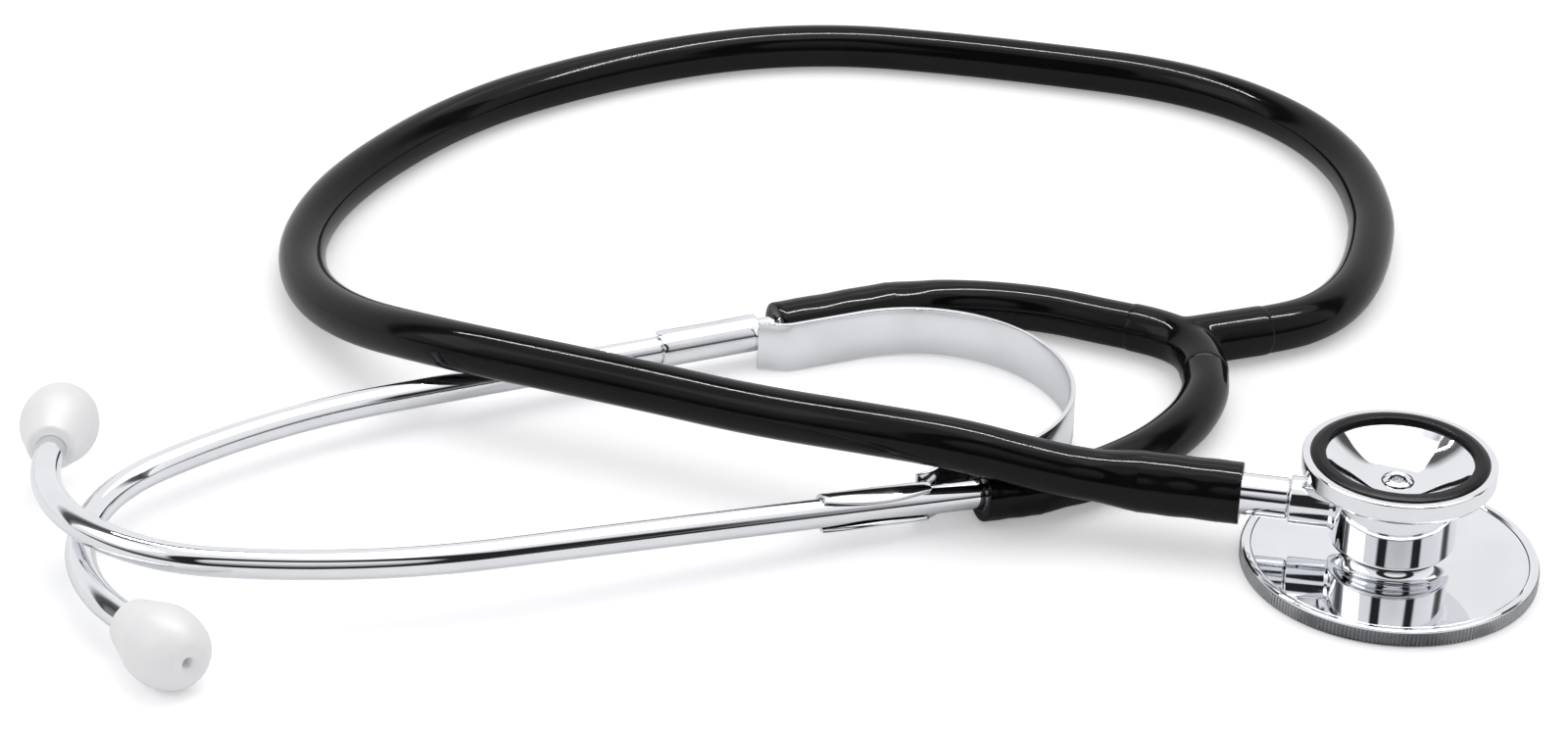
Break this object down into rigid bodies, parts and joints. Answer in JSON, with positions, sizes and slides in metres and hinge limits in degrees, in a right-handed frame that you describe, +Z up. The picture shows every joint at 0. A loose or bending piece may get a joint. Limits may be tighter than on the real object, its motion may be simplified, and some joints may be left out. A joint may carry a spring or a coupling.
{
  "type": "stethoscope",
  "caption": "Dual-head acoustic stethoscope laid on a table, with diaphragm and bell chestpiece, black tubing in a loop, spring-joined metal ear tubes and soft ear tips",
  "frame": {"origin": "centre of the diaphragm's outer face, on the table", "axes": "+Z up out of the bell, -X towards the stem and ear tubes, +Y away from the near branch towards the loop's back"},
  "size_m": [0.2466, 0.2414, 0.0212],
  "materials": {
    "chrome_head": "bright plated, polished",
    "black_rim": "smooth non-chill rubber",
    "clear_film": "stiff clear film over epoxy",
    "chrome_stem": "bright plated",
    "bright_steel": "polished",
    "black_tubing": "glossy moulded PVC",
    "spring_steel": "plated spring strip",
    "chrome_ear_tube": "bright plated",
    "white_ear_tip": "soft white vinyl, slight sheen"
  },
  "bodies": {
    "root": {"stem": "chrome_stem", "stem_seal": "black_rim", "detent_spring": "bright_steel", "main_hose_grip": "black_tubing", "main_hose": "black_tubing", "y_junction": "black_tubing", "near_branch": "black_tubing", "far_branch": "black_tubing", "far_branch_grip": "black_tubing", "leaf_spring": "spring_steel", "far_ear_tube": "chrome_ear_tube", "far_spring_sleeve": "spring_steel"},
    "head": {"chest_body": "chrome_head", "bell_ring": "black_rim", "bell_port": "chrome_head", "diaphragm": "clear_film", "diaphragm_ring": "chrome_head", "stem_bushing": "chrome_stem"},
    "detent": {"detent_ball": "bright_steel"},
    "near_ear": {"near_ear_tube": "chrome_ear_tube", "near_spring_sleeve": "spring_steel", "near_branch_grip": "black_tubing"},
    "near_tip": {"near_ear_tip": "white_ear_tip"},
    "far_tip": {"far_ear_tip": "white_ear_tip"}
  },
  "joints": [
    {"name": "head_turn", "type": "hinge", "parent": "root", "child": "head", "pos_m": [0, 0, 0.0106], "axis": [-0.9833, 0.1822, 0], "range_deg": [0, 180]},
    {"name": "detent_press", "type": "slide", "parent": "root", "child": "detent", "axis": [0, 0, 1], "range_m": [-0.0003, 0], "stiffness_N_per_m": 250, "springref_m": 0.0004, "deforming": ["detent_spring"]},
    {"name": "ear_spread", "type": "hinge", "parent": "root", "child": "near_ear", "pos_m": [-0.07385, 0.0111, 0.005], "axis": [-0.0641, 0.1521, 0.9863], "range_deg": [0, 40], "stiffness_Nm_per_rad": 0.4, "deforming": ["near_branch", "leaf_spring"]},
    {"name": "near_tip_turn", "type": "hinge", "parent": "near_ear", "child": "near_tip", "pos_m": [-0.21649, 0.02285, 0.01039], "axis": [-0.0274, 0.9983, -0.0522], "continuous": true},
    {"name": "far_tip_turn", "type": "hinge", "parent": "root", "child": "far_tip", "pos_m": [-0.18627, -0.04592, 0.00626], "axis": [0.6958, -0.7181, -0.0117], "continuous": true}
  ]
}
